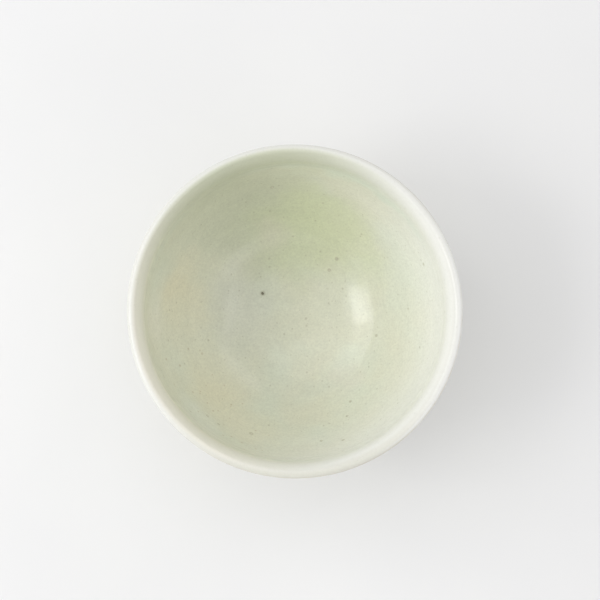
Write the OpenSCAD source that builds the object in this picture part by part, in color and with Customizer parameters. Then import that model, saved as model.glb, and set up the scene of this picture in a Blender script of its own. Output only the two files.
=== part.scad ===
// Matcha bowl: a thrown stoneware bowl on a luted foot ring, with a poured glaze inside, a dipped
// glaze outside, and iron spots that have come up through the inside glaze.
// Origin: centre of the resting face of the foot ring. +Z is up, along the wheel's axis.

/* [Bowl] */
// Outside diameter at the lip
bowl_d = 120; // [112:1:128]
// Height from the resting face to the top of the lip
bowl_h = 75; // [70:1:80]
// Height of the inside floor above the resting face
floor_z = 11.5; // [11:0.5:13]
// Wall thickness just below the flare of the lip
wall = 5.5; // [5.1:0.1:5.9]
// Thickness of the lip
lip_w = 3.4; // [3:0.1:3.8]
// Height over which the inside flares out to the lip
flare_h = 13; // [11:1:15]
// Fullness of the inside curve, where 2 is an ellipse
inner_power = 2.3; // [2.2:0.1:2.5]
// Fullness of the outside curve, where 2 is an ellipse
outer_power = 2.3; // [2.2:0.1:2.4]

/* [Foot] */
// Diameter of the foot ring at the resting face
foot_d = 52; // [48:1:56]
// Thickness of the foot ring
foot_w = 5; // [4:0.5:6]
// Depth of the recess inside the foot ring
recess_h = 5.5; // [4.5:0.5:6]
// Bevel on both edges of the resting face
foot_bevel = 0.7; // [0.4:0.1:1]

/* [Glaze] */
// Thickness of the glaze on the walls and floor
glaze = 0.7; // [0.5:0.1:0.9]
// Thickness of the glaze over the lip, where it has drawn thin
lip_glaze = 0.3; // [0.2:0.1:0.4]
// Height over which the glaze thins out towards the lip
thin_h = 12; // [8:1:16]
// Height of the edge of the outside glaze above the resting face
glaze_line_z = 11.5; // [10.5:0.5:14]

/* [Iron spots] */
// How deep a spot is set in the glaze
spot_depth = 0.2; // [0.1:0.05:0.3]
// How far a spot stands above the glaze
spot_proud = 0.03; // [0.02:0.01:0.05]

/* [Hidden] */
$fn = 96;

curve_steps = 36;    // points along each big curve
flare_steps = 8;     // points along the flare
lip_step = 10;       // degrees between points round the lip
flare_angle = 140;   // where the flare meets the round of the lip, from the outward direction
seam_angle = 20;     // where the two glazes meet on the outside of the lip
outer_low_z = 3;     // height at which the outside curve would close on the axis
flare_pull = 0.3;    // reach of the flare's tangents, as a share of its height
foot_swell = 1;      // how much wider the ring is where it meets the bowl
foot_fillet = 1.2;   // height of the small fillet under the bowl
bare_steps = 4;      // points along the bare clay above the foot ring
slope_step = 0.5;    // degrees of t either side of a spot, from which its slope is taken

well_r = bowl_d / 2 - wall;
flare_z = bowl_h - flare_h;
lip_r = lip_w / 2;
lip_centre = [bowl_d / 2 - lip_r, bowl_h - lip_r];
foot_r = foot_d / 2;
foot_in_r = foot_r - foot_w;
outer_h = lip_centre[1] - outer_low_z;

// Iron spots: [direction round the bowl in degrees, distance from the axis as a share of the
// inside radius, radius of the spot]
spots = [
    [138, 0.273, 0.55], [52, 0.55, 0.4], [51, 0.455, 0.35], [99, 0.917, 0.35],
    [21, 0.972, 0.35], [251, 0.881, 0.45], [292, 0.942, 0.35], [283, 0.906, 0.3],
    [230, 0.922, 0.35], [236, 0.922, 0.3], [203, 0.985, 0.3], [206, 0.985, 0.3],
    [158, 0.99, 0.3], [348, 0.638, 0.3], [305, 0.744, 0.3], [299, 0.815, 0.25]
];

// One quarter of a full, rounded curve: t = 0 is low on the axis, t = 90 is the widest point
function bowl_curve(r, z, h, power, t) =
    [r * pow(sin(t), 2 / power), z + h * (1 - pow(cos(t), 2 / power))];
function well_point(t) = bowl_curve(well_r, floor_z, flare_z - floor_z, inner_power, t);
function outer_point(t) = bowl_curve(bowl_d / 2, outer_low_z, outer_h, outer_power, t);
// The t of the outside curve at a height and at a radius, and of the inside curve at a share of
// its radius
function outer_t_at_z(z) = acos(pow(1 - (z - outer_low_z) / outer_h, outer_power / 2));
function outer_t_at_r(r) = asin(pow(2 * r / bowl_d, outer_power / 2));
function well_t_at_share(share) = asin(pow(share, inner_power / 2));

function round_lip(angle) = lip_centre + lip_r * [cos(angle), sin(angle)];
function bezier(a, b, c, d, u) =
    pow(1 - u, 3) * a + 3 * pow(1 - u, 2) * u * b + 3 * (1 - u) * pow(u, 2) * c + pow(u, 3) * d;

flare_top = round_lip(flare_angle);
flare_tangent = [sin(flare_angle), -cos(flare_angle)];

// The glazed surface, from the centre of the floor, up the inside and over the lip to the seam
inside_path = concat(
    [for (i = [0 : curve_steps]) well_point(90 * i / curve_steps)],
    [for (i = [1 : flare_steps]) bezier(
        [well_r, flare_z],
        [well_r, flare_z + flare_pull * flare_h],
        flare_top - flare_pull * flare_h * flare_tangent,
        flare_top,
        i / flare_steps)],
    [for (a = [flare_angle - lip_step : -lip_step : seam_angle]) round_lip(a)]
);

// The outside surface, from just past the seam, down to the edge of the glaze
line_t = outer_t_at_z(glaze_line_z);
outside_path = concat(
    [for (a = [seam_angle - lip_step : -lip_step : lip_step]) round_lip(a)],
    [for (i = [0 : curve_steps]) outer_point(90 - (90 - line_t) * i / curve_steps)]
);

// The bare clay, from the edge of the glaze to the top of the foot ring
foot_top_t = outer_t_at_r(foot_r + foot_swell);
bare_path = [for (i = [1 : bare_steps])
    outer_point(line_t + (foot_top_t - line_t) * i / bare_steps)];

skin = concat(inside_path, outside_path, bare_path);
seam_i = len(inside_path) - 1;
line_i = seam_i + len(outside_path);
last_i = len(skin) - 1;

// Unit vector from the surface into the clay, at a point of the skin
function along(i) =
    i == 0 ? [1, 0] :
    let (d = skin[min(i + 1, last_i)] - skin[i - 1]) d / norm(d);
function into_clay(i) = [along(i)[1], -along(i)[0]];
function smooth(u) = let (v = min(max(u, 0), 1)) v * v * (3 - 2 * v);
function thickness(z) = lip_glaze + (glaze - lip_glaze) * smooth((bowl_h - z) / thin_h);

clay = [for (i = [0 : last_i]) skin[i] + thickness(skin[i][1]) * into_clay(i)];
function part_of(path, from, to) =
    [for (i = [from : (to > from ? 1 : -1) : to]) path[i]];

recess_corner = [foot_in_r, recess_h];
foot_top = clay[last_i];

module clay_body() {
    color("#b8a68c") rotate_extrude() polygon(concat(clay, [recess_corner, [0, recess_h]]));
}

module foot_ring() {
    color("#a8937a") rotate_extrude() polygon([
        [foot_in_r + foot_bevel, 0],
        [foot_r - foot_bevel, 0],
        [foot_r, foot_bevel],
        [foot_r + foot_swell / 4, foot_top[1] - foot_fillet],
        [foot_r + foot_swell / 2, foot_top[1] - foot_fillet / 3],
        foot_top,
        recess_corner,
        [foot_in_r, foot_bevel]
    ]);
}

// A flat round grain, set in the inside glaze square to its surface
module spot(direction, share, radius) {
    t = well_t_at_share(share);
    p = well_point(t);
    ahead = well_point(t + slope_step) - well_point(t - slope_step);
    slope = atan2(ahead[1], ahead[0]);
    rotate([0, 0, direction]) translate([p[0], 0, p[1]]) rotate([0, -slope, 0])
        translate([0, 0, -spot_depth]) cylinder(r = radius, h = spot_depth + spot_proud, $fn = 32);
}

module iron_spots() {
    color("#4f4a3c") for (s = spots) spot(s[0], s[1], s[2]);
}

module inner_glaze() {
    color("#cdd1b2") difference() {
        rotate_extrude() polygon(concat(part_of(skin, 0, seam_i), part_of(clay, seam_i, 0)));
        for (s = spots) spot(s[0], s[1], s[2]);
    }
}

module outer_glaze() {
    color("#d3d6bf") rotate_extrude() polygon(
        concat(part_of(skin, seam_i, line_i), part_of(clay, line_i, seam_i)));
}

clay_body();
foot_ring();
inner_glaze();
outer_glaze();
iron_spots();
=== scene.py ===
"""A matcha bowl in pale green glaze on a pale table, seen from above in window light from the left."""
import math

import bmesh
import bpy
from mathutils import Matrix, Vector, noise


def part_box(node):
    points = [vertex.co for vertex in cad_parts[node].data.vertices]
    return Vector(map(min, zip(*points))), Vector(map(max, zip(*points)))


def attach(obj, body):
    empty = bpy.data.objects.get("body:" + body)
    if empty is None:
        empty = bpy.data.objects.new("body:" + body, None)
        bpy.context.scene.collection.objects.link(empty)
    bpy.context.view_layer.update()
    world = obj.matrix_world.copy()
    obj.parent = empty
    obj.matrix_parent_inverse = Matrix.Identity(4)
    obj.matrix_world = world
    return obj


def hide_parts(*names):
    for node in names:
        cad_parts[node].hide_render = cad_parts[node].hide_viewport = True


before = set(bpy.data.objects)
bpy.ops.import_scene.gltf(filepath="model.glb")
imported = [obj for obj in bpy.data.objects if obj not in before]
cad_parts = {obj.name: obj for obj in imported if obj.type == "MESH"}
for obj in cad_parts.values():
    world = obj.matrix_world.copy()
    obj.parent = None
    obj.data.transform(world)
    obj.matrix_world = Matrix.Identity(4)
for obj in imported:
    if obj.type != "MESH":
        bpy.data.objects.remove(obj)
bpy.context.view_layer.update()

# ------------------------------------------------------------------ sizes, in millimetres

MM = 0.001
OUTER_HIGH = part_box("outer_glaze")[1] / MM
INNER_LOW, INNER_HIGH = (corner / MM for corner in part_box("inner_glaze"))
FOOT_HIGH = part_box("foot_ring")[1] / MM
CLAY_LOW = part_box("clay_body")[0] / MM

RADIUS = OUTER_HIGH.x            # outside of the bowl, at the lip
HEIGHT = INNER_HIGH.z            # top of the lip
WALL = 5.5                       # from the outside to the inside, below the flare
GLAZE = 0.7                      # thickness of the glaze on the walls
LIP_GLAZE = 0.3                  # and over the lip
THIN_HEIGHT = 12                 # height over which it thins towards the lip
FLOOR = INNER_LOW.z + GLAZE      # the glazed floor of the inside
LIP_RADIUS = 1.7                 # of the round of the lip
FLARE = 13                       # height over which the inside flares out to the lip
FLARE_PULL = 0.3                 # reach of the flare's tangents, as a share of its height
FLARE_ANGLE = 140                # where the flare meets the round of the lip
SEAM_ANGLE = 20                  # where the two glazes meet on the outside of the lip
POWER = 2.3                      # fullness of the inside and outside curves
OUTER_BASE = 3                   # height at which the outside curve would close on the axis
GLAZE_LINE = 11.5                # lower edge of the outside glaze
JOINT = Vector((FOOT_HIGH.x, FOOT_HIGH.z))    # where the foot ring meets the bowl
FOOT_RADIUS = 26
FOOT_INSIDE = 21
FOOT_BEVEL = 0.7
RECESS = CLAY_LOW.z              # ceiling of the recess inside the foot ring

WELL_RADIUS = RADIUS - WALL
FLARE_START = HEIGHT - FLARE
LIP_CENTRE = Vector((RADIUS - LIP_RADIUS, HEIGHT - LIP_RADIUS))
SEGMENTS = 480                   # round each turned piece
ON_AXIS = 1e-4                   # nearer to the axis than this, a point is on it

# Iron spots: (direction round the bowl, distance from the axis as a share of the inside, radius)
SPOTS = (
    (138, 0.273, 0.55), (52, 0.55, 0.4), (51, 0.455, 0.35), (99, 0.917, 0.35),
    (21, 0.972, 0.35), (251, 0.881, 0.45), (292, 0.942, 0.35), (283, 0.906, 0.3),
    (230, 0.922, 0.35), (236, 0.922, 0.3), (203, 0.985, 0.3), (206, 0.985, 0.3),
    (158, 0.99, 0.3), (348, 0.638, 0.3), (305, 0.744, 0.3), (299, 0.815, 0.25),
)

# ------------------------------------------------------------------ the camera

CAMERA_DISTANCE = 0.470          # metres from the middle of the rim
CAMERA_AZIMUTH = 234.8           # the side that it leans to, a little to the front left
CAMERA_ELEVATION = 86.3
CAMERA_AIM = Vector((1.45, 3.56, 0))     # the point that it looks at, from the middle of the rim
FOCAL_LENGTH = 79.29
SENSOR = 36


def heading(azimuth, elevation=0):
    """The unit vector so many degrees round from +X towards +Y, and so many up from level."""
    a, e = math.radians(azimuth), math.radians(elevation)
    return Vector((math.cos(e) * math.cos(a), math.cos(e) * math.sin(a), math.sin(e)))


def make_camera():
    """Almost overhead, with the world's Y axis upright in the picture."""
    data = bpy.data.cameras.new("camera")
    data.lens = FOCAL_LENGTH
    data.sensor_width = SENSOR
    camera = bpy.data.objects.new("camera", data)
    bpy.context.scene.collection.objects.link(camera)
    rim = Vector((0, 0, HEIGHT * MM))
    place = rim + CAMERA_DISTANCE * heading(CAMERA_AZIMUTH, CAMERA_ELEVATION)
    aim = rim + CAMERA_AIM * MM
    away = (place - aim).normalized()
    across = Vector((0, 1, 0)).cross(away).normalized()
    axes = Matrix((across, away.cross(across), away)).transposed()
    camera.matrix_world = Matrix.Translation(place) @ axes.to_4x4()
    bpy.context.scene.camera = camera


make_camera()

# ------------------------------------------------------------------ the turned outline

# A point of the outline is (distance from the axis, height).


def smooth(share):
    """0 below 0, 1 above 1, and a soft step between them."""
    share = min(max(share, 0.0), 1.0)
    return share * share * (3 - 2 * share)


def steps(start, end, count):
    """count + 1 evenly spaced values, both ends included."""
    return [start + (end - start) * i / count for i in range(count + 1)]


def full_curve(radius, base, height, t):
    """A quarter of a full, rounded curve: t = 0 is low on the axis, t = 90 is the widest point."""
    t = math.radians(t)
    return Vector((radius * math.sin(t) ** (2 / POWER),
                   base + height * (1 - max(math.cos(t), 0) ** (2 / POWER))))


def well_point(t):
    """A point of the inside, from the middle of the floor to the foot of the flare."""
    return full_curve(WELL_RADIUS, FLOOR, FLARE_START - FLOOR, t)


def outer_point(t):
    """A point of the outside, up to where the lip starts to round over."""
    return full_curve(RADIUS, OUTER_BASE, LIP_CENTRE.y - OUTER_BASE, t)


def well_t(share):
    """The t of the inside curve at a share of its radius."""
    return math.degrees(math.asin(share ** (POWER / 2)))


def outer_t(z):
    """The t of the outside curve at a height."""
    share = (z - OUTER_BASE) / (LIP_CENTRE.y - OUTER_BASE)
    return math.degrees(math.acos((1 - share) ** (POWER / 2)))


def outer_normal(t):
    """The way that the outside faces at t."""
    along = outer_point(min(t + 0.2, 90)) - outer_point(t - 0.2)
    return Vector((along.y, -along.x)).normalized()


def lip_point(angle):
    """A point on the round of the lip, by its direction from the outward one."""
    angle = math.radians(angle)
    return LIP_CENTRE + LIP_RADIUS * Vector((math.cos(angle), math.sin(angle)))


def bezier(a, b, c, d, u):
    """A point of the cubic curve from a to d, drawn towards b and c."""
    return (1 - u) ** 3 * a + 3 * (1 - u) ** 2 * u * b + 3 * (1 - u) * u ** 2 * c + u ** 3 * d


def flare_points(count):
    """The inside from the top of its full curve to the round of the lip."""
    turn = math.radians(FLARE_ANGLE)
    pull = FLARE_PULL * FLARE
    start = Vector((WELL_RADIUS, FLARE_START))
    top = lip_point(FLARE_ANGLE)
    leave = start + Vector((0, pull))
    arrive = top - pull * Vector((math.sin(turn), -math.cos(turn)))
    return [bezier(start, leave, arrive, top, u) for u in steps(0, 1, count)]


def travels(points):
    """The distance along a line to each of its points."""
    total = [0.0]
    for a, b in zip(points, points[1:]):
        total.append(total[-1] + (b - a).length)
    return total


def evenly(points, spacing):
    """The same line with points an even distance apart, close to the spacing given."""
    far = travels(points)
    found, i = [], 0
    for wanted in steps(0, far[-1], max(2, round(far[-1] / spacing))):
        while i < len(points) - 2 and far[i + 1] < wanted:
            i += 1
        share = (wanted - far[i]) / max(far[i + 1] - far[i], 1e-9)
        found.append(points[i].lerp(points[i + 1], min(share, 1.0)))
    return found


def with_normals(points, side=1):
    """Each point of a line with the unit vector square to the line there: on its left for side 1,
    on its right for -1. A line that starts on the axis leaves it squarely."""
    last = len(points) - 1
    found = []
    for i, point in enumerate(points):
        along = (points[min(i + 1, last)] - points[max(i - 1, 0)]).normalized()
        if point.x < ON_AXIS:
            along = Vector((1, 0))
        found.append((point, side * Vector((-along.y, along.x))))
    return found


def glaze_thickness(z):
    """The thickness of either glaze at a height."""
    return LIP_GLAZE + (GLAZE - LIP_GLAZE) * smooth((HEIGHT - z) / THIN_HEIGHT)


def glaze_back(point, out):
    """The point on the clay behind a point of the glaze, which faces out."""
    return point - glaze_thickness(point.y) * out


# ------------------------------------------------------------------ the marks of the hand

OUT_OF_ROUND = 0.3               # how much narrower the bowl is one way than the other
OVAL_DIRECTION = math.radians(80)
LIP_DIP = 0.5                    # how far the lip falls below its highest point
LIP_WAVES = ((1, 2, 0.6), (0.6, 3, -1.1), (0.25, 7, 2.0))    # (strength, waves in a turn, phase)

# The spirals: that of the fingers inside and outside, and that of the turning tool near the foot
INSIDE_PITCH, INSIDE_DEPTH = 6.0, 0.022
OUTSIDE_PITCH, OUTSIDE_DEPTH = 7.5, 0.12
TRIM_PITCH, TRIM_DEPTH = 1.5, 0.11
INSIDE_DRIFT, OUTSIDE_DRIFT, TRIM_DRIFT = 18, 25, 6      # travel over which their strength changes

# Slow waves in the surface: (size, depth, how far they are sunk to stay within the outline)
INSIDE_WAVES = (13, 0.10, 0.05)
OUTSIDE_WAVES = (16, 0.12, 0.08)
FOOT_WAVES = (5, 0.12, 0.06)

# Where the outside glaze ends: how far above the glaze line on the whole, and by how much it wanders
RUN_MIDDLE, RUN_SLOW, RUN_FAST = 0.6, 0.9, 0.35


def lip_wave(angle):
    """The slow rise and fall of the lip, from 0 to 1."""
    wave = sum(strength * math.cos(count * angle + phase) for strength, count, phase in LIP_WAVES)
    highest = sum(strength for strength, _, _ in LIP_WAVES)
    return (wave / highest + 1) / 2


def placed(point, angle):
    """Turns a point of the outline to its place round the bowl, in metres."""
    r, z = point
    squeeze = OUT_OF_ROUND * smooth(z / HEIGHT) * (1 + math.cos(2 * (angle - OVAL_DIRECTION))) / 2
    r *= 1 - squeeze / RADIUS
    z -= LIP_DIP * smooth(2 * z / HEIGHT - 1) * lip_wave(angle)
    return Vector((r * math.cos(angle), r * math.sin(angle), z)) * MM


def round_noise(angle, along, pace, shift=(0, 0, 0)):
    """Smooth noise that meets itself after a full turn. pace sets how fast it changes, and shift
    takes it from another part of the noise."""
    return noise.noise(Vector((math.cos(angle), math.sin(angle), along)) * pace + Vector(shift))


def waves(point, angle, kind):
    """The slow waves of that kind, mostly below the outline."""
    size, depth, sunk = kind
    r, z = point
    place = Vector((r * math.cos(angle), r * math.sin(angle), z))
    return depth * noise.noise(place / size) - sunk


def ripple(travel, pitch, turn):
    """The rise and fall of a spiral mark, from -1 to 1."""
    return math.sin(2 * math.pi * travel / pitch + turn)


def inside_relief(point, angle):
    """How far the inside stands proud at a point: the throwing spiral, and the glaze's own waves."""
    r, z = point
    travel = r + z
    bend = 1.5 * round_noise(angle, travel / INSIDE_DRIFT, 2.21)
    strength = 0.55 + 0.9 * round_noise(angle, travel / INSIDE_DRIFT, 1.3)
    rings = INSIDE_DEPTH * strength * ripple(travel, INSIDE_PITCH, bend - angle)
    calm = smooth(r / 12) * smooth((HEIGHT - 4 - z) / 10)
    return calm * (rings + waves(point, angle, INSIDE_WAVES))


def outside_relief(point, angle):
    """The same for the outside, where the marks are broader and sunk into it."""
    r, z = point
    travel = r + z
    bend = 1.8 * round_noise(angle, travel / OUTSIDE_DRIFT, 1.2)
    strength = 0.6 + 0.8 * round_noise(angle, travel / OUTSIDE_DRIFT, 1.2, (7, 3, 1))
    rings = OUTSIDE_DEPTH * strength * (ripple(travel, OUTSIDE_PITCH, bend + angle) - 1) / 2
    calm = smooth((HEIGHT - 2 - z) / 12)
    return calm * (rings + waves(point, angle, OUTSIDE_WAVES))


def trim_relief(point, angle):
    """The grooves that the turning tool leaves in bare clay."""
    r, z = point
    travel = r + z
    bend = 0.8 * round_noise(angle, travel / TRIM_DRIFT, 3)
    strength = 0.7 + 0.6 * round_noise(angle, travel / TRIM_DRIFT, 1.5)
    return TRIM_DEPTH * strength * (ripple(travel, TRIM_PITCH, bend) - 1) / 2


def glaze_line(angle):
    """The height at which the outside glaze ends, where it ran a little as it melted."""
    slow = RUN_SLOW * round_noise(angle, 0.3, 2.2)
    fast = RUN_FAST * round_noise(angle, 0.3, 7)
    return GLAZE_LINE + RUN_MIDDLE + slow + fast


# ------------------------------------------------------------------ meshes


def lathe(name, row_count, point_at, closed=False):
    """A turned mesh: point_at(row, angle) places each point. A row on the axis becomes one point.
    closed joins the last row to the first, as in a ring."""
    vertices, rings = [], []
    for row in range(row_count):
        on_axis = point_at(row, 0.0).xy.length < ON_AXIS * MM
        count = 1 if on_axis else SEGMENTS
        rings.append(range(len(vertices), len(vertices) + count))
        vertices.extend(point_at(row, 2 * math.pi * i / SEGMENTS) for i in range(count))
    if closed:
        rings.append(rings[0])
    return finished(name, vertices, turned_faces(rings))


def turned_faces(rings):
    """The faces from each ring of vertices to the next. A ring may be a single vertex."""
    faces = []
    for low, high in zip(rings, rings[1:]):
        count = max(len(low), len(high))
        for i in range(count):
            j = (i + 1) % count
            corners = (low[i % len(low)], low[j % len(low)], high[j % len(high)], high[i % len(high)])
            faces.append(tuple(dict.fromkeys(corners)))
    return faces


def finished(name, vertices, faces):
    """An object of these faces, all turned outwards and shaded smooth but for its real edges."""
    mesh = bpy.data.meshes.new(name)
    mesh.from_pydata(vertices, [], faces)
    mesh.validate()
    shape = bmesh.new()
    shape.from_mesh(mesh)
    if shape.calc_volume(signed=True) < 0:
        bmesh.ops.reverse_faces(shape, faces=shape.faces)
    shape.to_mesh(mesh)
    shape.free()
    mesh.shade_smooth()
    mesh.set_sharp_from_angle(angle=math.radians(50))
    piece = bpy.data.objects.new(name, mesh)
    bpy.context.scene.collection.objects.link(piece)
    return piece


def every(rows, gap):
    """Some of the rows, always with the first and the last."""
    last = len(rows) - 1
    return [row for i, row in enumerate(rows) if i % gap == 0 or i == last]


DENSE = 600                      # points along a curve before it is spaced evenly
WELL_SPACING, FLARE_SPACING = 0.85, 0.7
LIP_STEPS, LIP_OUTSIDE_STEPS = 26, 3
NEAR_SEAM = 1                    # degrees between the points on either side of the glaze seam
LIP_END = 4                      # where the coat outside leaves the round of the lip
BACK_GAP = 4                     # so many rows on the face of the coat to one on its back, and on the clay

INSIDE = with_normals(
    evenly([well_point(t) for t in steps(0, 90, DENSE)], WELL_SPACING)
    + evenly(flare_points(DENSE), FLARE_SPACING)[1:]
    + [lip_point(a) for a in steps(FLARE_ANGLE, SEAM_ANGLE + NEAR_SEAM, LIP_STEPS)][1:]
    + [lip_point(SEAM_ANGLE)])
LIP_OUTSIDE = with_normals(
    [lip_point(a) for a in [SEAM_ANGLE] + steps(SEAM_ANGLE - NEAR_SEAM, LIP_END, LIP_OUTSIDE_STEPS)])


def make_inner_glaze():
    """The coat inside: floor, wall, lip as far as the seam, and back along the clay."""
    rows = [(point, out, 0) for point, out in INSIDE]
    rows += [(point, out, 1) for point, out in reversed(every(INSIDE, BACK_GAP))]

    def point_at(row, angle):
        point, out, depth = rows[row]
        lift = inside_relief(point, angle) - depth * glaze_thickness(point.y)
        return placed(point + lift * out, angle)

    return lathe("inner_glaze_coat", len(rows), point_at)


OUTSIDE_ROWS = 100
ROLL_ROWS = 7                    # rows that round the lower edge of the glaze
ROLL_WIDTH = 0.9                 # how far that rounding reaches down the wall
ROLL_SWELL, ROLL_REACH = 0.22, 2.5       # the thicker roll of glaze just above the edge


def outside_rows():
    """(share of the way from lip to glaze line, share round the rolled edge, depth) of each row."""
    skin = [(u, 0, 0) for u in steps(0, 1, OUTSIDE_ROWS)]
    roll = [(1, math.sin(a), 1 - math.cos(a)) for a in steps(0, math.pi / 2, ROLL_ROWS)][1:]
    back = [(u, 0, 1) for u in steps(1, 0, OUTSIDE_ROWS // 4)]
    return skin + roll + back


def outside_point(share, rolled, depth, angle):
    """A point of the coat outside, below the lip."""
    line = outer_t(glaze_line(angle))
    t = 90 - (90 - line) * share
    point, out = outer_point(t), outer_normal(t)
    down = Vector((out.y, -out.x))
    above = (point.y - outer_point(line).y) / ROLL_REACH
    swell = ROLL_SWELL * math.exp(-above * above) * (1 - depth)
    lift = outside_relief(point, angle) + swell - depth * glaze_thickness(point.y)
    return point + lift * out + rolled * ROLL_WIDTH * down


def make_outer_glaze():
    """The coat outside: from the seam on the lip down to a rolled, wandering edge above the foot."""
    wall = outside_rows()
    wall_start = len(LIP_OUTSIDE)
    back_start = wall_start + len(wall)
    total = back_start + len(LIP_OUTSIDE)

    def point_at(row, angle):
        if row < wall_start:
            return placed(LIP_OUTSIDE[row][0], angle)
        if row >= back_start:
            return placed(glaze_back(*LIP_OUTSIDE[total - 1 - row]), angle)
        return placed(outside_point(*wall[row - wall_start], angle), angle)

    return lathe("outer_glaze_coat", total, point_at, closed=True)


NUB_HEIGHT, NUB_RADIUS = 0.9, 4.5        # the low nub left in the middle of the recess
RECESS_MARK, RECESS_PITCH = 0.12, 2.6    # the spiral that the turning tool leaves round it
RECESS_ROWS = 52
BARE_START = GLAZE_LINE + 3      # the height from which the clay's rows lie closer together
COVERED_ROWS, BARE_ROWS = 24, 60         # of the clay outside, above and below that height
BELOW = Vector((0, -1))


def recess_drop(r, angle):
    """How far the ceiling of the recess hangs below its edge."""
    nub = NUB_HEIGHT * math.exp(-(r / NUB_RADIUS) ** 2)
    spiral = RECESS_MARK * (1 + ripple(r, RECESS_PITCH, -angle)) / 2
    return nub + spiral * smooth(r / 3) * smooth((FOOT_INSIDE - r) / 2)


def no_relief(point, angle):
    """For the row at the joint, which has no marks but those of the turning tool."""
    return 0.0


def clay_wall():
    """(point, way out, relief) of each row of the clay, from the middle of the floor over the lip
    and down to the foot ring."""
    inside = [(glaze_back(point, out), out, inside_relief) for point, out in every(INSIDE, BACK_GAP)]
    lip = [(glaze_back(point, out), out, outside_relief) for point, out in LIP_OUTSIDE]
    places = steps(90, outer_t(BARE_START), COVERED_ROWS)
    places += steps(outer_t(BARE_START), outer_t(JOINT.y - GLAZE), BARE_ROWS)[1:]
    outs = [outer_normal(t) for t in places]
    outside = [(glaze_back(outer_point(t), out), out, outside_relief) for t, out in zip(places, outs)]
    above_joint = [row for row in outside if row[0].y > JOINT.y]
    return inside + lip + above_joint + [(JOINT, BELOW, no_relief)]


def make_clay_body():
    """The clay: plain where glaze covers it, and turned where it is bare."""
    wall = clay_wall()
    recess = steps(FOOT_INSIDE, 0, RECESS_ROWS)

    def point_at(row, angle):
        if row >= len(wall):
            r = recess[row - len(wall)]
            return placed(Vector((r, RECESS)) + recess_drop(r, angle) * BELOW, angle)
        point, out, relief = wall[row]
        lift = relief(point, angle)
        if point.y < GLAZE_LINE:
            lift += trim_relief(point, angle) * smooth((GLAZE_LINE - point.y) / 1.5)
        return placed(point + lift * out, angle)

    return lathe("thrown_clay_body", len(wall) + len(recess), point_at)


RING_TAPER = ((0.25, 1.2), (0.5, 0.4))   # (how far past FOOT_RADIUS, how far below the joint)
RING_SPACING, JOINT_SPACING = 0.3, 2
CHIP_DEPTH, CHIP_FINENESS, CHIP_RARITY = 0.5, 26, 0.45
EDGE_WIDTH = 0.5                 # of the band near the resting face where the chips are


def ring_outline():
    """The ring from the ceiling of the recess, down its inside and up its outside to the joint."""
    cut = FOOT_BEVEL / 3
    corners = [(FOOT_INSIDE, RECESS), (FOOT_INSIDE, 2), (FOOT_INSIDE, FOOT_BEVEL),
               (FOOT_INSIDE + cut, cut), (FOOT_INSIDE + FOOT_BEVEL, 0),
               (FOOT_RADIUS - FOOT_BEVEL, 0), (FOOT_RADIUS - cut, cut), (FOOT_RADIUS, FOOT_BEVEL)]
    corners += [(FOOT_RADIUS + past, JOINT.y - below) for past, below in RING_TAPER]
    return evenly([Vector(corner) for corner in corners] + [JOINT], RING_SPACING)


def ring_relief(point, angle):
    """Grooves and waves, fading out at the joint with the bowl and on the resting face, and chips."""
    at_outer_end = smooth((JOINT.y - point.y) / 0.6)
    at_inner_end = smooth((RECESS - point.y + 2 * (point.x - FOOT_INSIDE)) / 0.6)
    resting = smooth(point.y / 0.8)
    marks = trim_relief(point, angle) + waves(point, angle, FOOT_WAVES)
    chips = max(0, round_noise(angle, point.x / 30, CHIP_FINENESS) - CHIP_RARITY)
    near_edge = math.exp(-((point.y - FOOT_BEVEL / 2) / EDGE_WIDTH) ** 2)
    return at_outer_end * at_inner_end * resting * marks - CHIP_DEPTH * chips * near_edge


def make_foot_ring():
    """The foot ring: turned outside, bevelled, and rubbed smooth where it rests."""
    outline = with_normals(ring_outline(), -1)
    across = evenly([JOINT, Vector((FOOT_INSIDE, RECESS))], JOINT_SPACING)[1:-1]

    def point_at(row, angle):
        if row >= len(outline):
            return placed(across[row - len(outline)], angle)
        point, out = outline[row]
        return placed(point + ring_relief(point, angle) * out, angle)

    return lathe("turned_foot_ring", len(outline) + len(across), point_at, closed=True)


GRAIN_SEGMENTS, GRAIN_RINGS = 28, 6
GRAIN_RISE, GRAIN_DEPTH = 0.05, 0.2      # above and below the glaze
GRAIN_FOOT = 0.9                 # width of the underside, as a share of the grain's
GRAIN_UNEVEN = 0.35              # how far the edge strays from a circle, as a share of the radius


def surface_place(direction, share):
    """Where an iron spot lies on the inside, in metres, and the way that the glaze faces there."""
    angle = math.radians(direction)
    t = well_t(share)
    point = well_point(t)
    along = (well_point(min(t + 0.3, 90)) - well_point(t - 0.3)).normalized()
    out = Vector((-along.y, along.x))
    centre = placed(point + inside_relief(point, angle) * out, angle)
    return centre, Vector((out.x * math.cos(angle), out.x * math.sin(angle), out.y))


def grain_rings(radius, number):
    """One grain as rings of points, from the middle of its underside to its top, in millimetres.
    number makes each grain uneven in its own way."""
    dome = [(math.cos(a), math.sin(a) * GRAIN_RISE) for a in steps(0, math.pi / 2, GRAIN_RINGS)][:-1]
    rings = [[Vector((0, 0, -GRAIN_DEPTH))]]
    for wide, high in [(GRAIN_FOOT, -GRAIN_DEPTH)] + dome:
        ring = []
        for i in range(GRAIN_SEGMENTS):
            a = 2 * math.pi * i / GRAIN_SEGMENTS
            reach = radius * wide * (1 + GRAIN_UNEVEN * round_noise(a, number * 3.7, 1.4))
            ring.append(Vector((reach * math.cos(a), reach * math.sin(a), high)))
        rings.append(ring)
    rings.append([Vector((0, 0, GRAIN_RISE))])
    return rings


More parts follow.
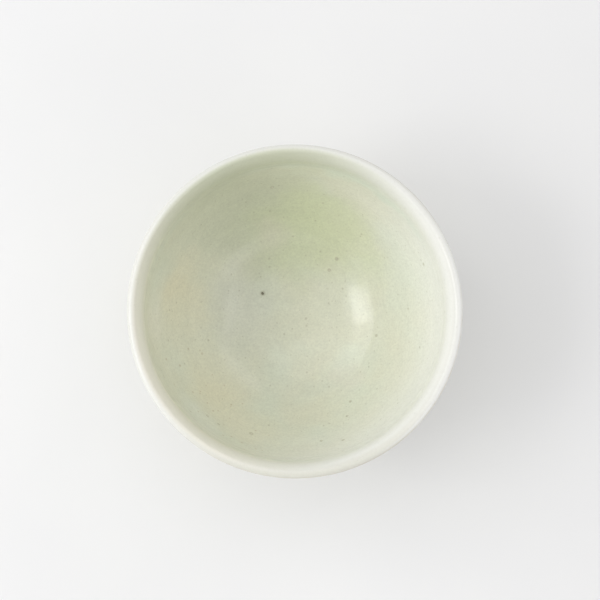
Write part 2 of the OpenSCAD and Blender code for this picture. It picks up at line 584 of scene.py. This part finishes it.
def make_spots():
    """The grains of iron: low, uneven domes set in the inside glaze."""
    vertices, faces = [], []
    for number, (direction, share, radius) in enumerate(SPOTS):
        centre, up = surface_place(direction, share)
        turn = up.to_track_quat("Z", "Y")
        rings = []
        for ring in grain_rings(radius, number):
            rings.append(range(len(vertices), len(vertices) + len(ring)))
            vertices.extend(centre + turn @ (point * MM) for point in ring)
        faces.extend(turned_faces(rings))
    return finished("iron_spot_grains", vertices, faces)


# ------------------------------------------------------------------ materials


class Surface:
    """A Principled material, with a short way to make each kind of node that the bowl needs.
    Sizes and places are in millimetres, in the bowl's own frame."""

    def __init__(self, name, roughness):
        self.material = bpy.data.materials.new(name)
        self.material.use_nodes = True
        self.tree = self.material.node_tree
        self.shader = self.tree.nodes["Principled BSDF"]
        self.shader.inputs["Roughness"].default_value = roughness
        place = self.tree.nodes.new("ShaderNodeTexCoord").outputs["Object"]
        self.mm = self.scaled(place, 1 / MM)
        self.z = self.split(self.mm)["Z"]
        self.flat = self.vector("MULTIPLY", self.mm, (1, 1, 0))
        self.radius = self.vector("LENGTH", self.flat)
        self.travel = self.sum(self.radius, self.z)

    def node(self, kind, outlet, inputs, **settings):
        """A new node with its inputs fed. It returns the node's outlet."""
        made = self.tree.nodes.new("ShaderNode" + kind)
        for name, value in settings.items():
            setattr(made, name, value)
        for key, value in inputs.items():
            self.feed(made.inputs[key], value)
        return made.outputs[outlet]

    def feed(self, socket, value):
        """Joins an outlet to the socket, or gives the socket a colour or a number."""
        if isinstance(value, bpy.types.NodeSocket):
            self.tree.links.new(value, socket)
        elif socket.type == "RGBA":
            socket.default_value = (*value, 1)
        else:
            socket.default_value = value

    def vector(self, operation, a, b=(0, 0, 0)):
        """Vector maths, with a number as the result where the operation gives one."""
        outlet = "Value" if operation in ("LENGTH", "DISTANCE", "DOT_PRODUCT") else "Vector"
        return self.node("VectorMath", outlet, {0: a, 1: b}, operation=operation)

    def scaled(self, a, scale):
        """A vector or a colour times a number."""
        return self.node("VectorMath", "Vector", {0: a, "Scale": scale}, operation="SCALE")

    def split(self, vector):
        """The X, Y and Z of a vector or a colour."""
        made = self.tree.nodes.new("ShaderNodeSeparateXYZ")
        self.feed(made.inputs[0], vector)
        return made.outputs

    def maths(self, operation, a, b):
        """Maths on numbers."""
        return self.node("Math", 0, {0: a, 1: b}, operation=operation)

    def sum(self, a, b):
        return self.maths("ADD", a, b)

    def times(self, a, b):
        return self.maths("MULTIPLY", a, b)

    def band(self, value, low, high, start=0.0, end=1.0):
        """start up to low, end from high on, and a soft step between them."""
        inputs = {"Value": value, "From Min": low, "From Max": high, "To Min": start, "To Max": end}
        return self.node("MapRange", "Result", inputs, interpolation_type="SMOOTHSTEP")

    def mix(self, share, a, b):
        """Colour a at a share of 0, b at 1."""
        return self.node("Mix", 2, {0: share, 6: a, 7: b}, data_type="RGBA")

    def noise(self, size, detail=2.0, rough=0.5, vector=None, outlet="Fac"):
        """Cloudy noise, about that size across."""
        inputs = {"Vector": vector or self.mm, "Scale": 1 / size, "Detail": detail, "Roughness": rough}
        return self.node("TexNoise", outlet, inputs)

    def streaks(self, width, around):
        """Noise drawn out round the bowl into rings, about that wide."""
        unit = self.vector("NORMALIZE", self.flat)
        ring = self.scaled(unit, around)
        up = self.node("CombineXYZ", 0, {"Z": self.maths("DIVIDE", self.travel, width)})
        return self.noise(1.0, 3.0, 0.55, self.vector("ADD", ring, up))

    def facing(self, direction):
        """1 in that direction round the bowl, 0 opposite to it."""
        unit = self.vector("NORMALIZE", self.flat)
        dot = self.vector("DOT_PRODUCT", unit, heading(direction))
        return self.sum(self.times(dot, 0.5), 0.5)

    def blot(self, colour, place, centre, reach, strength, tint):
        """The colour with a soft round blot of a tint in it: as strong as that up to the first reach
        from the centre, and gone at the second."""
        away = self.vector("DISTANCE", place, centre)
        return self.mix(self.band(away, *reach, strength, 0), colour, tint)

    def specks(self, spacing, size, share):
        """Small round specks: 1 in a speck, 0 elsewhere. share of the cells hold one."""
        cells = self.tree.nodes.new("ShaderNodeTexVoronoi")
        self.feed(cells.inputs["Vector"], self.mm)
        self.feed(cells.inputs["Scale"], 1 / spacing)
        chance = self.split(cells.outputs["Color"])
        here = self.maths("LESS_THAN", chance[0], share)
        reach = self.times(self.sum(chance[1], 0.3), size / spacing)
        inside = self.maths("SUBTRACT", 1.0, self.maths("DIVIDE", cells.outputs["Distance"], reach))
        return self.times(here, self.band(inside, 0.0, 0.6))

    def bump(self, height, depth, before=None, strength=1.0):
        """A normal for relief that deep, added to one made before."""
        inputs = {"Height": height, "Distance": depth * MM, "Strength": strength}
        if before:
            inputs["Normal"] = before
        return self.node("Bump", "Normal", inputs)

    def wear(self, colour=None, roughness=None, normal=None):
        """Gives the shader what was made for it."""
        for socket, value in (("Base Color", colour), ("Roughness", roughness), ("Normal", normal)):
            if value is not None:
                self.feed(self.shader.inputs[socket], value)
        return self.material


# Colours are linear.
CELADON = (0.735, 0.745, 0.615)
MINT = (0.725, 0.757, 0.635)
STRAW = (0.745, 0.740, 0.600)
YELLOW_GREEN = (0.675, 0.720, 0.490)
TEAL = (0.715, 0.845, 0.765)
TAN = (0.765, 0.735, 0.565)
# partly the glaze's own blue-grey, partly a painted reflection: paler for the white board on the right
BLUE_GREY_AND_SHEEN = (0.738, 0.745, 0.655)
# painted shade: the darker grey-green of the upper left inside wall
PAINTED_SHADE_GREY = (0.598, 0.621, 0.480)
DEEP_GREEN = (0.600, 0.650, 0.500)
CREAM = (0.905, 0.910, 0.885)
BLUSH = (0.855, 0.828, 0.725)
PAINTED_SHADE_SAGE = (0.580, 0.605, 0.462)
PAINTED_LIT_PALE = (0.895, 0.897, 0.865)
RIM_PALE = (0.775, 0.775, 0.730)
RIM_DULL = (0.702, 0.697, 0.618)
ROSE = (0.760, 0.715, 0.620)
AMBER = (0.765, 0.710, 0.525)
LIP_TAN = (0.700, 0.645, 0.545)
SPECK = (0.300, 0.270, 0.170)
RUST = (0.430, 0.330, 0.190)
IRON = (0.160, 0.145, 0.100)
VEILED_IRON = (0.520, 0.510, 0.390)
CLAY = (0.600, 0.500, 0.380)
CLAY_RED = (0.560, 0.380, 0.240)
CLAY_DARK = (0.400, 0.320, 0.230)
SAND = (0.740, 0.660, 0.540)
TABLE_PALE = (0.836, 0.836, 0.84)
TABLE_WHITE = (0.845, 0.845, 0.845)

# Specks in the glazes: (spacing, size, share of the places that hold one, strength)
GLAZE_SPECKS = ((3.0, 0.55, 0.30, 0.30), (1.8, 0.38, 0.50, 0.22), (1.1, 0.28, 0.50, 0.16))

# Where the inside glaze pooled or ran, and painted shade in the grey patches on the upper left:
# (direction, share of the inside radius, size, colour, strength)
PATCHES = (
    (108, 0.82, 42, PAINTED_SHADE_GREY, 0.95),
    (140, 0.97, 30, PAINTED_SHADE_GREY, 0.4),
    (168, 0.80, 24, TAN, 0.8),
    (222, 0.80, 26, TAN, 0.6),
    (250, 0.88, 20, TAN, 0.4),
    # The two blue-grey patches are partly the glaze's colour and partly a painted reflection of the white
    # board on the right.
    (160, 0.42, 18, BLUE_GREY_AND_SHEEN, 0.6),
    (190, 0.34, 18, BLUE_GREY_AND_SHEEN, 0.5),
    (90, 0.66, 28, YELLOW_GREEN, 0.6),
    (66, 0.70, 26, YELLOW_GREEN, 0.75),
    (38, 0.66, 18, YELLOW_GREEN, 0.35),
    (84, 0.38, 15, YELLOW_GREEN, 0.25),
    (80, 0.86, 16, YELLOW_GREEN, 0.5),
    (164, 0.86, 10, AMBER, 0.35),
    (224, 0.80, 9, AMBER, 0.2),
    (101, 0.63, 11, ROSE, 0.35),
    (312, 0.60, 11, ROSE, 0.3),
    (182, 0.97, 14, BLUSH, 0.35),
    (118, 0.999, 22, PAINTED_SHADE_GREY, 0.6),
    (230, 0.99, 18, CREAM, 0.25),
)
SWAY_SIZE, SWAY = 12, 16.0       # what makes the patches ragged: the size of the noise, and its reach

# The sea-green fringe under the lip: (direction, strength), and its reach
FRINGE = ((102, 0.15), (89, 0.25), (76, 0.4), (63, 0.5), (50, 0.45), (37, 0.25))
FRINGE_REACH = (2, 11)

# Directions round the bowl
LIT_SIDE = -20                   # the wall that the window lights, where the painted light in cream reaches lowest
LIT_FLANK_SIDE = -15                  # where the wall just under the lip is painted palest, as painted light
CREST_SIDE = -12                 # where the crest of the lip is painted brightest, as painted light
BLUSH_SIDE = 222                 # where the wall just under the lip is warmest
RUST_SIDE = 226                  # where the glaze has most rust specks in it
POOL_SIDE = 232                  # where the glaze pooled in a darker line under the lip
NEAR_SIDE = 275                  # where the crest of the lip is dullest and its tan edge strongest

# Where the looks change: from the first height, or distance from the axis, to the second
LIT_WALL = (22, 62)              # the lit wall is painted cream, as painted light
FLARE_TONE = (55, 70)            # the thinner glaze on the flare comes in, with its painted light and shade
POOL_FROM, POOL_TO = (61, 63.5), (64, 66.5)      # the pooled line starts, and ends
RUST_OUT, RUST_UP = (30, 42), (50, 58)   # the rust specks set in, and give out
CREST = (RADIUS - 2.9, RADIUS - 1.0)     # the crest of the lip starts
LIT_CREST = (RADIUS - 2.2, RADIUS - 0.8)
INSIDE_TAN = (RADIUS - 1.0, RADIUS - 0.1)
OUTSIDE_TAN = (HEIGHT - 3.5, HEIGHT - 1.4)
OUTSIDE_RIM = (HEIGHT - 9, HEIGHT - 1)
CALM_LIP = (HEIGHT - 12, HEIGHT - 3)     # the grain grows faint
GLAZE_EDGE = (GLAZE_LINE + 2, GLAZE_LINE + 7)    # the straw of the lower edge gives out
BURNT_EDGE = (GLAZE_LINE - 3.5, GLAZE_LINE + 0.5)


def inside_spot(direction, share):
    """A place on the inside glaze, in millimetres."""
    return tuple(surface_place(direction, share)[0] / MM)


def glaze_colour(s, base):
    """The cloudy ground that both glazes share."""
    elsewhere = s.vector("ADD", s.mm, (90, 40, 20))
    colour = s.mix(s.band(s.noise(34, 2), 0.35, 0.7), base, STRAW)
    return s.mix(s.band(s.noise(24, 2, vector=elsewhere), 0.4, 0.75), colour, MINT)


def grain(s, colour):
    """Rings, a fine crystalline grain and small specks over a glaze's colour, fainter on the lip."""
    rings = s.band(s.streaks(2.4, 2.5), 0.2, 0.8, 0.985, 1.015)
    broad = s.band(s.streaks(8, 1.2), 0.25, 0.75, 0.985, 1.015)
    fine = s.band(s.noise(0.9, 3, 0.65), 0.25, 0.75, 0.945, 1.055)
    mottle = s.band(s.noise(2.6, 2, 0.6), 0.3, 0.7, 0.985, 1.015)
    grained = s.scaled(colour, s.times(s.times(rings, broad), s.times(fine, mottle)))
    for spacing, size, share, strength in GLAZE_SPECKS:
        grained = s.mix(s.times(s.specks(spacing, size, share), strength), grained, SPECK)
    return s.mix(s.band(s.z, *CALM_LIP, 1, 0.35), colour, grained)


def glaze_skin(s, rough, lip_strength):
    """Orange peel and pinholes in a glaze, of that strength near the lip, and how its gloss varies."""
    strength = s.band(s.z, 30, 58, 1.0, lip_strength)
    peel = s.bump(s.noise(1.6, 2, 0.5), 0.008, strength=strength)
    pinholes = s.bump(s.specks(4.5, 0.22, 0.3), -0.006, peel, strength)
    return {"roughness": s.band(s.noise(14, 3), 0.3, 0.7, rough - 0.03, rough + 0.04), "normal": pinholes}


def tan_edge(s, colour, place, limits):
    """The clay that shows through the thin glaze on the outermost edge of the lip, strongest on the near
    side. It is left out on the window's side, so that the edge there is painted white as painted light."""
    broken = s.band(s.noise(5, 3), 0.35, 0.65, 0.35, 0.9)
    away_from_window = s.band(s.facing(LIT_SIDE), 0.25, 0.55)
    strong = s.band(s.facing(NEAR_SIDE), 0.4, 0.95, 0.4, 1)
    share = s.times(s.times(s.band(place, *limits), broken), s.times(away_from_window, strong))
    return s.mix(share, colour, LIP_TAN)


def rim_colour(s):
    """The glaze on the crest of the lip, duller on the near side than elsewhere."""
    return s.mix(s.band(s.facing(NEAR_SIDE), 0.75, 0.98), RIM_PALE, RIM_DULL)


def clouded_inside(s):
    """The ground of the inside: patches, painted light in cream on the wall that the window lights, and
    the fringe.
    """
    colour = glaze_colour(s, CELADON)
    sway = s.vector("SUBTRACT", s.noise(SWAY_SIZE, 2, 0.5, outlet="Color"), (0.5, 0.5, 0.5))
    swayed = s.vector("ADD", s.mm, s.scaled(sway, SWAY))
    for direction, share, size, tint, strength in PATCHES:
        centre = inside_spot(direction, share)
        colour = s.blot(colour, swayed, centre, (0.15 * size, size), strength, tint)
    # Painted light: the wall that the window lights is painted cream, more so higher up.
    lit = s.band(s.facing(LIT_SIDE), 0.30, 0.95)
    colour = s.mix(s.times(s.band(s.z, *LIT_WALL), lit), colour, CREAM)
    for direction, strength in FRINGE:
        centre = inside_spot(direction, 1.0 - 1e-6)
        colour = s.blot(colour, swayed, centre, FRINGE_REACH, strength, TEAL)
    return colour


def under_lip(s, colour):
    """The top of the inside: the thinner glaze of the flare, painted in lit and shaded tones, the crest,
    and the pooled line below.
    """
    # Painted light and shade on the flare: pale where the window lights it, sage as painted shade further
    # round, blush to the upper left.
    shaded = s.mix(s.band(s.facing(BLUSH_SIDE), 0.35, 1.0), PAINTED_SHADE_SAGE, BLUSH)
    lit_flank = s.band(s.facing(LIT_FLANK_SIDE), 0.28, 0.85)
    colour = s.mix(s.band(s.z, *FLARE_TONE, 0, 0.85), colour, s.mix(lit_flank, shaded, PAINTED_LIT_PALE))
    reach = s.sum(s.radius, s.times(lit_flank, 1.3))
    colour = s.mix(s.band(reach, *CREST, 0, 0.95), colour, rim_colour(s))
    pooled = s.times(s.band(s.z, *POOL_FROM), s.band(s.z, *POOL_TO, 1, 0))
    pool_side = s.band(s.facing(POOL_SIDE), 0.85, 0.97, 0, 0.35)
    return s.mix(s.times(pooled, pool_side), colour, DEEP_GREEN)


def iron_stains(s, colour):
    """Rust specks on one side of the wall, and a soft halo round each iron spot."""
    wall = s.times(s.band(s.radius, *RUST_OUT), s.band(s.z, *RUST_UP, 0.4, 0))
    rusty = s.times(s.band(s.facing(RUST_SIDE), 0.86, 0.96), wall)
    colour = s.mix(s.times(s.specks(2.4, 0.6, 0.45), rusty), colour, RUST)
    for direction, share, radius in SPOTS:
        colour = s.blot(colour, s.mm, inside_spot(direction, share), (radius, 2.8 * radius), 0.4, SPECK)
    return colour


def painted_lit_crest(s, colour):
    """The crest of the lip towards the right, painted nearly white as painted light."""
    crest = s.band(s.radius, *LIT_CREST)
    bright = s.times(crest, s.band(s.facing(CREST_SIDE), 0.8, 0.97))
    return s.mix(s.times(bright, 0.8), colour, CREAM)


def inside_glaze():
    """The coat inside: cloudy and stained, with painted light and shade on the wall and the flare, and
    painted light on the crest of the lip.
    """
    s = Surface("inside_glaze", 0.3)
    colour = under_lip(s, clouded_inside(s))
    colour = iron_stains(s, grain(s, colour))
    colour = tan_edge(s, painted_lit_crest(s, colour), s.radius, INSIDE_TAN)
    return s.wear(colour, **glaze_skin(s, 0.18, 0.0))


def outside_glaze():
    """The coat outside: pale towards the lip, and straw-coloured at its lower edge."""
    s = Surface("outside_glaze", 0.3)
    colour = glaze_colour(s, CELADON)
    colour = s.mix(s.band(s.z, *OUTSIDE_RIM, 0, 0.9), colour, rim_colour(s))
    low_edge = s.sum(s.z, s.times(s.noise(6, 2), 3.0))
    colour = s.mix(s.band(low_edge, *GLAZE_EDGE, 0.5, 0), colour, STRAW)
    colour = grain(s, colour)
    colour = tan_edge(s, colour, s.z, OUTSIDE_TAN)
    return s.wear(colour, **glaze_skin(s, 0.27, 1.0))


def fired_clay(name, burnt):
    """Buff stoneware with sand and iron in it, burnt redder where the flame reached the glaze's edge."""
    s = Surface(name, 0.8)
    colour = s.mix(s.band(s.noise(9, 3), 0.3, 0.7), CLAY, CLAY_DARK)
    if burnt:
        colour = s.mix(s.band(s.z, *BURNT_EDGE, 0.1, 0.75), colour, CLAY_RED)
    colour = s.scaled(colour, s.band(s.streaks(1.1, 4), 0.25, 0.75, 0.86, 1.10))
    colour = s.scaled(colour, s.band(s.noise(0.35, 3, 0.7), 0.25, 0.75, 0.82, 1.14))
    colour = s.mix(s.times(s.specks(3.2, 0.45, 0.4), 0.55), colour, SAND)
    colour = s.mix(s.times(s.specks(1.9, 0.2, 0.3), 0.6), colour, IRON)
    colour = s.scaled(colour, s.band(s.z, 0, 0.3, 0.9, 1.0))
    unworn = s.band(s.z, 0, 0.25)
    sand = s.bump(s.noise(0.3, 3, 0.7), 0.05)
    return s.wear(colour, roughness=s.band(unworn, 0, 1, 0.55, 0.85), normal=sand)


def iron():
    """Dark iron in the largest grain, and iron veiled by glaze in the others."""
    s = Surface("iron", 0.4)
    direction, share, _ = SPOTS[0]
    colour = s.blot(VEILED_IRON, s.mm, inside_spot(direction, share), (1, 2), 1, IRON)
    colour = s.scaled(colour, s.band(s.noise(0.4, 3), 0.3, 0.7, 0.85, 1.3))
    return s.wear(colour, normal=s.bump(s.noise(0.2, 2), 0.02))


# ------------------------------------------------------------------ the pieces


def dress(piece, material, node):
    """Gives a piece its material, hangs it under the bowl's body, and hides the part of the CAD model that
    it stands for.
    """
    piece.data.materials.append(material)
    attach(piece, "root")
    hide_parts(node)


dress(make_inner_glaze(), inside_glaze(), "inner_glaze")
dress(make_outer_glaze(), outside_glaze(), "outer_glaze")
dress(make_clay_body(), fired_clay("bare_clay", True), "clay_body")
dress(make_foot_ring(), fired_clay("foot_clay", False), "foot_ring")
dress(make_spots(), iron(), "iron_spots")

# ------------------------------------------------------------------ the table and the light

TABLE_HALF = 1.6                 # metres, as is everything below
LIGHT_DISTANCE = 1.5
WALL_TINT = (1.0, 0.975, 0.99)   # light that comes back from the room, slightly pink
ROOM_COLOUR = (1, 1, 1, 1)
ROOM_LIGHT = 0.53


def make_table():
    """The flat, pale top that the bowl stands on."""
    mesh = bpy.data.meshes.new("table_top")
    corners = [(x * TABLE_HALF, y * TABLE_HALF, 0) for x, y in ((-1, -1), (1, -1), (1, 1), (-1, 1))]
    mesh.from_pydata(corners, [], [(0, 1, 2, 3)])
    table = bpy.data.objects.new("table_top", mesh)
    bpy.context.scene.collection.objects.link(table)
    s = Surface("pale_table", 0.6)
    colour = s.mix(s.band(s.noise(60, 2), 0.3, 0.7), TABLE_PALE, TABLE_WHITE)
    mesh.materials.append(s.wear(colour, normal=s.bump(s.noise(0.9, 2), 0.01)))


def area_light(name, azimuth, elevation, size, power, colour=(1, 1, 1)):
    """A soft rectangle of light that faces the bowl. Azimuth is counted from +X towards +Y."""
    data = bpy.data.lights.new(name, "AREA")
    data.shape = "RECTANGLE"
    data.size, data.size_y = size
    data.energy = power
    data.color = colour
    light = bpy.data.objects.new(name, data)
    bpy.context.scene.collection.objects.link(light)
    direction = heading(azimuth, elevation)
    light.location = direction * LIGHT_DISTANCE
    light.rotation_mode = "QUATERNION"
    light.rotation_quaternion = direction.to_track_quat("Z", "Y")


def make_light():
    """Window light from the left, and pale walls, a white board and a ceiling that send some back."""
    area_light("window", 188, 48, (0.52, 0.44), 3.2)
    area_light("curtain", 172, 42, (1.8, 1.0), 4.5)
    area_light("curtain_edge", 160, 38, (0.8, 0.8), 2.1)
    area_light("low_window", 213, 28, (0.9, 0.4), 2.4)
    area_light("right_back_wall", 45, 35, (0.8, 0.5), 1.8, WALL_TINT)
    area_light("right_front_wall", 315, 35, (0.8, 0.5), 2.0, WALL_TINT)
    area_light("front_wall", 270, 35, (1.0, 0.5), 0.9)
    area_light("board", 0, 54, (0.8, 0.28), 0.65)
    area_light("ceiling", 110, 65, (1.0, 0.8), 1.8)
    area_light("skylight", 90, 78, (1.4, 1.0), 1.0)


def make_room():
    """Even light from all round, and a plain view of the colours."""
    world = bpy.data.worlds.new("room")
    world.use_nodes = True
    background = world.node_tree.nodes["Background"]
    background.inputs["Color"].default_value = ROOM_COLOUR
    background.inputs["Strength"].default_value = ROOM_LIGHT
    bpy.context.scene.world = world
    bpy.context.scene.view_settings.view_transform = "Standard"


make_table()
make_light()
make_room()
